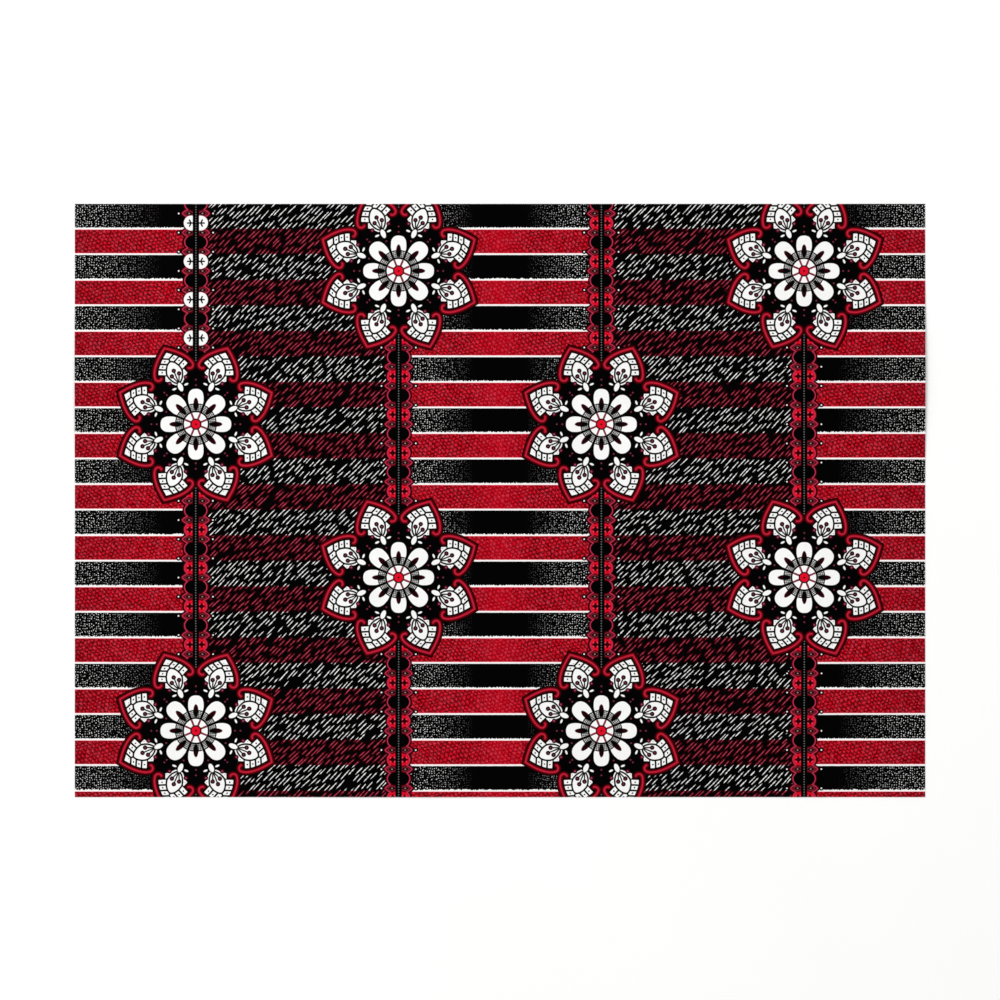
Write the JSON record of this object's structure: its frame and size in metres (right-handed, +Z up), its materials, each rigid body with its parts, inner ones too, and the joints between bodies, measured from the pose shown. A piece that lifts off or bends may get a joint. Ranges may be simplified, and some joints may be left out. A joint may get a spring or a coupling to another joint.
{
  "type": "ankara fabric",
  "caption": "Cut length of printed cotton cloth lying face up, with a striped and dashed print, bead chains and round flower medallions.",
  "frame": {"origin": "on the surface under the middle of the cloth", "axes": "+X along the cloth's long side, +Y across it towards the end where the print begins, +Z up out of the printed face"},
  "size_m": [0.8874, 0.619, 0.004],
  "materials": {
    "printed_cotton": "starched plain-weave cotton, printed through, with a slight sheen"
  },
  "bodies": {
    "root": {"ankara_cloth": "printed_cotton"}
  },
  "joints": []
}
